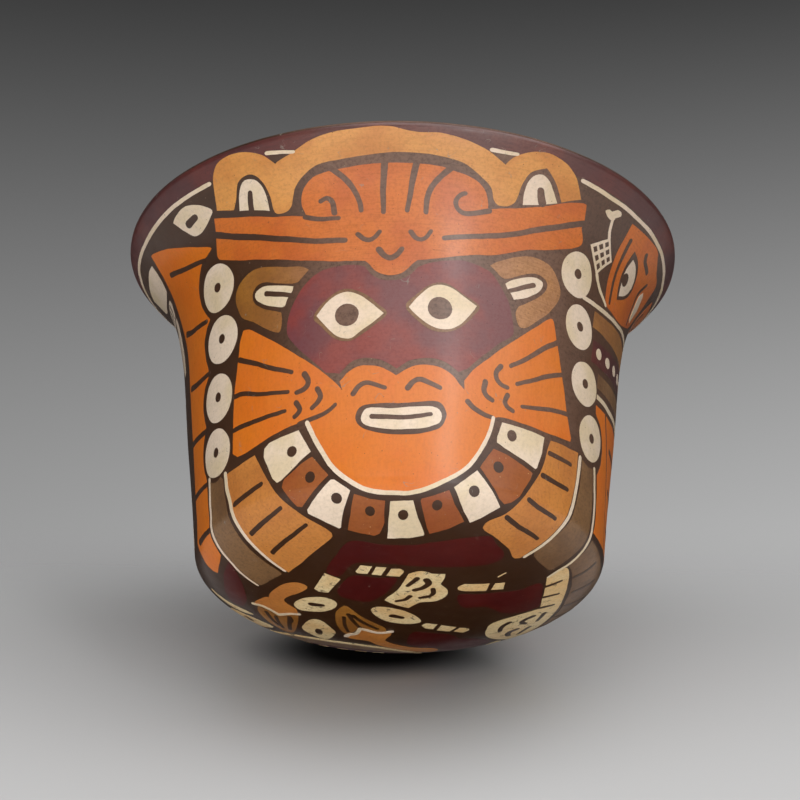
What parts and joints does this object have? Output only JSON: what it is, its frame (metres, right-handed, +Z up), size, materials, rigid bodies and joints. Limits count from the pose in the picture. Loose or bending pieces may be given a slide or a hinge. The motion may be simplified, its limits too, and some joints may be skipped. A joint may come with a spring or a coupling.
{
  "type": "ceramic cup",
  "caption": "Flaring, round-bottomed drinking cup of hand-built pottery, coated and painted with coloured clay slips. It stands on a small flat and is open at the top.",
  "frame": {"origin": "centre of the small flat that the cup rests on", "axes": "+Z up the cup's axis towards the mouth, -Y towards the painted figure's face"},
  "size_m": [0.1682, 0.1682, 0.1187],
  "materials": {
    "fired_clay": "scraped and burnished",
    "ground_slip": "burnished slip",
    "cream_slip": "burnished slip",
    "maroon_slip": "burnished slip",
    "orange_slip": "burnished slip",
    "red_slip": "burnished slip",
    "tan_slip": "burnished slip",
    "grey_brown_slip": "burnished slip",
    "dark_line_slip": "burnished slip"
  },
  "bodies": {
    "root": {"base_dish": "fired_clay", "lower_wall_coil": "fired_clay", "upper_wall_coil": "fired_clay", "flared_rim": "fired_clay", "underside_slip": "maroon_slip", "ground_slip": "ground_slip", "lip_line_slip": "cream_slip", "lip_band_slip": "maroon_slip"}
  },
  "joints": []
}
